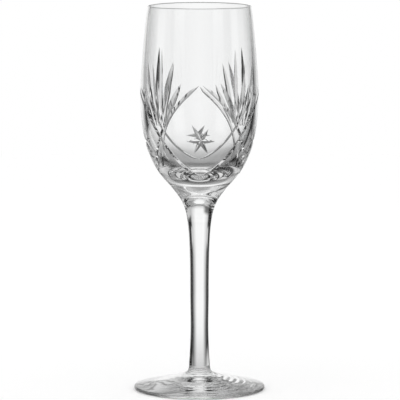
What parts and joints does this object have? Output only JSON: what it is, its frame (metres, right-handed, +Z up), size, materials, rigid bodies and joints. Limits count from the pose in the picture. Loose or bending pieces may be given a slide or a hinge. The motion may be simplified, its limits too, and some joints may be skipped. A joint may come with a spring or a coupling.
{
  "type": "champagne glass",
  "caption": "Stemmed cut-crystal champagne glass: tulip bowl with mitre-cut arcs, fans and stars, a drawn solid stem and a round, slightly hollowed foot.",
  "frame": {"origin": "centre of the foot's rest ring, on the table", "axes": "+Z up the axis of the glass; -Y is the middle of one panel of the cut pattern, with its star"},
  "size_m": [0.0702, 0.0702, 0.205],
  "materials": {
    "bowl_crystal": "clear polished crystal with polished V cuts",
    "stem_crystal": "clear fire-polished crystal",
    "foot_crystal": "clear fire-polished crystal"
  },
  "bodies": {
    "root": {"bowl": "bowl_crystal", "stem": "stem_crystal", "foot": "foot_crystal"}
  },
  "joints": []
}
